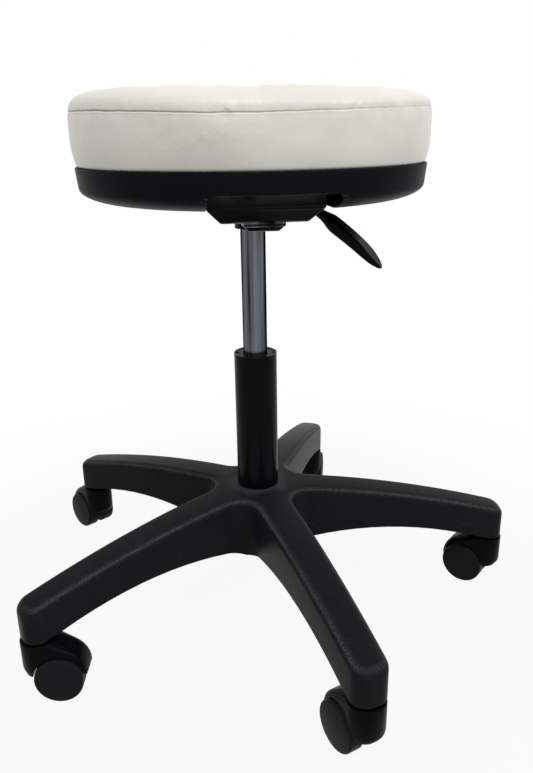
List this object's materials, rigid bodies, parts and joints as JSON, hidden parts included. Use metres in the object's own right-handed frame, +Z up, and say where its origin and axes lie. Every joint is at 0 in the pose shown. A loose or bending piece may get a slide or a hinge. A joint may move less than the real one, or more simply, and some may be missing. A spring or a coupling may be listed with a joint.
{
  "type": "pedicure stool",
  "caption": "Low round work stool: padded off-white seat on a black pan, gas-lift column with release lever, arched star base on hooded twin-wheel casters.",
  "frame": {"origin": "on the floor, on the axis of the column", "axes": "+Z up through the seat, +X to the viewer's right in the picture, -Y towards the viewer"},
  "size_m": [0.6039, 0.6298, 0.6055],
  "materials": {
    "base_nylon": "glass-filled nylon with a fine moulded grain",
    "caster_nylon": "smooth satin nylon",
    "wheel_nylon": "hard satin nylon",
    "plated_steel": "zinc-plated steel",
    "polished_steel": "ground and polished steel",
    "bearing_steel": "ground bearing steel",
    "cage_brass": "pressed brass",
    "light_alloy": "machined",
    "black_rubber": "matt",
    "black_enamel": "satin black enamel on steel",
    "grey_acetal": "turned and moulded",
    "plywood": "bare birch plywood",
    "pan_plastic": "satin polypropylene",
    "foam": "open-cell polyurethane foam",
    "ivory_vinyl": "soft off-white coated cloth with a faint grain",
    "lever_plastic": "half-gloss black"
  },
  "bodies": {
    "base": {"star_base": "base_nylon", "caster_stems": "plated_steel", "stem_grip_rings": "plated_steel", "column_tube": "black_enamel", "guide_bush": "grey_acetal", "bearing_lower_race": "bearing_steel"},
    "spindle": {"bearing_upper_race": "bearing_steel", "bearing_balls": "bearing_steel", "ball_cage": "cage_brass", "piston_rod": "polished_steel", "piston": "light_alloy", "piston_seal": "black_rubber", "bump_buffer": "black_rubber", "rod_washer": "plated_steel", "rod_clip": "plated_steel"},
    "seat": {"pressure_tube": "polished_steel", "rod_gland": "light_alloy", "gland_seal": "black_rubber", "valve_block": "light_alloy", "taper_socket": "black_enamel", "mount_plate": "black_enamel", "plate_bolts": "plated_steel", "tee_nuts": "plated_steel", "seat_board": "plywood", "seat_pan": "pan_plastic", "pan_screws": "plated_steel", "seat_foam": "foam", "cover_top": "ivory_vinyl", "cover_band": "ivory_vinyl", "lever_pin": "plated_steel"},
    "button": {"release_button": "plated_steel"},
    "lever": {"lever_arm": "plated_steel", "lever_paddle": "lever_plastic"},
    "caster_1": {"caster_hood_1": "caster_nylon", "caster_axle_1": "plated_steel"},
    "left_wheel_1": {"wheel_left_1": "wheel_nylon"},
    "right_wheel_1": {"wheel_right_1": "wheel_nylon"},
    "caster_2": {"caster_hood_2": "caster_nylon", "caster_axle_2": "plated_steel"},
    "left_wheel_2": {"wheel_left_2": "wheel_nylon"},
    "right_wheel_2": {"wheel_right_2": "wheel_nylon"},
    "caster_3": {"caster_hood_3": "caster_nylon", "caster_axle_3": "plated_steel"},
    "left_wheel_3": {"wheel_left_3": "wheel_nylon"},
    "right_wheel_3": {"wheel_right_3": "wheel_nylon"},
    "caster_4": {"caster_hood_4": "caster_nylon", "caster_axle_4": "plated_steel"},
    "left_wheel_4": {"wheel_left_4": "wheel_nylon"},
    "right_wheel_4": {"wheel_right_4": "wheel_nylon"},
    "caster_5": {"caster_hood_5": "caster_nylon", "caster_axle_5": "plated_steel"},
    "left_wheel_5": {"wheel_left_5": "wheel_nylon"},
    "right_wheel_5": {"wheel_right_5": "wheel_nylon"}
  },
  "joints": [
    {"name": "seat_swivel", "type": "hinge", "parent": "base", "child": "spindle", "pos_m": [0, 0, 0.155], "axis": [0, 0, 1], "continuous": true},
    {"name": "height_slide", "type": "slide", "parent": "spindle", "child": "seat", "axis": [0, 0, 1], "range_m": [-0.12, 0]},
    {"name": "lever_pivot", "type": "hinge", "parent": "seat", "child": "lever", "pos_m": [0.03002, -0.01596, 0.5003], "axis": [-0.4695, -0.8829, 0], "range_deg": [0, 5], "stiffness_Nm_per_rad": 0.5},
    {"name": "button_press", "type": "slide", "parent": "seat", "child": "button", "axis": [0, 0, -1], "range_m": [0, 0.0035]},
    {"name": "caster_swivel_1", "type": "hinge", "parent": "base", "child": "caster_1", "pos_m": [-0.23167, -0.181, 0.0685], "axis": [0, 0, 1], "continuous": true},
    {"name": "left_wheel_spin_1", "type": "hinge", "parent": "caster_1", "child": "left_wheel_1", "pos_m": [-0.21018, -0.181, 0.026], "axis": [0, 1, 0], "continuous": true},
    {"name": "right_wheel_spin_1", "type": "hinge", "parent": "caster_1", "child": "right_wheel_1", "pos_m": [-0.21018, -0.181, 0.026], "axis": [0, 1, 0], "continuous": true},
    {"name": "caster_swivel_2", "type": "hinge", "parent": "base", "child": "caster_2", "pos_m": [0.10055, -0.27627, 0.0685], "axis": [0, 0, 1], "continuous": true},
    {"name": "left_wheel_spin_2", "type": "hinge", "parent": "caster_2", "child": "left_wheel_2", "pos_m": [0.0898, -0.25765, 0.026], "axis": [-0.866, -0.5, 0], "continuous": true},
    {"name": "right_wheel_spin_2", "type": "hinge", "parent": "caster_2", "child": "right_wheel_2", "pos_m": [0.0898, -0.25765, 0.026], "axis": [-0.866, -0.5, 0], "continuous": true},
    {"name": "caster_swivel_3", "type": "hinge", "parent": "base", "child": "caster_3", "pos_m": [0.29382, 0.01026, 0.0685], "axis": [0, 0, 1], "continuous": true},
    {"name": "left_wheel_spin_3", "type": "hinge", "parent": "caster_3", "child": "left_wheel_3", "pos_m": [0.27688, 0.0235, 0.026], "axis": [-0.6157, -0.788, 0], "continuous": true},
    {"name": "right_wheel_spin_3", "type": "hinge", "parent": "caster_3", "child": "right_wheel_3", "pos_m": [0.27688, 0.0235, 0.026], "axis": [-0.6157, -0.788, 0], "continuous": true},
    {"name": "caster_swivel_4", "type": "hinge", "parent": "base", "child": "caster_4", "pos_m": [0.08104, 0.28261, 0.0685], "axis": [0, 0, 1], "continuous": true},
    {"name": "left_wheel_spin_4", "type": "hinge", "parent": "caster_4", "child": "left_wheel_4", "pos_m": [0.08403, 0.3039, 0.026], "axis": [-0.9903, 0.1392, 0], "continuous": true},
    {"name": "right_wheel_spin_4", "type": "hinge", "parent": "caster_4", "child": "right_wheel_4", "pos_m": [0.08403, 0.3039, 0.026], "axis": [-0.9903, 0.1392, 0], "continuous": true},
    {"name": "caster_swivel_5", "type": "hinge", "parent": "base", "child": "caster_5", "pos_m": [-0.24374, 0.1644, 0.0685], "axis": [0, 0, 1], "continuous": true},
    {"name": "left_wheel_spin_5", "type": "hinge", "parent": "caster_5", "child": "left_wheel_5", "pos_m": [-0.25867, 0.17987, 0.026], "axis": [-0.7193, -0.6947, 0], "continuous": true},
    {"name": "right_wheel_spin_5", "type": "hinge", "parent": "caster_5", "child": "right_wheel_5", "pos_m": [-0.25867, 0.17987, 0.026], "axis": [-0.7193, -0.6947, 0], "continuous": true}
  ],
  "couplings": [
    {"joint": "button_press", "follows": "lever_pivot", "m_per_rad": 0.034}
  ]
}
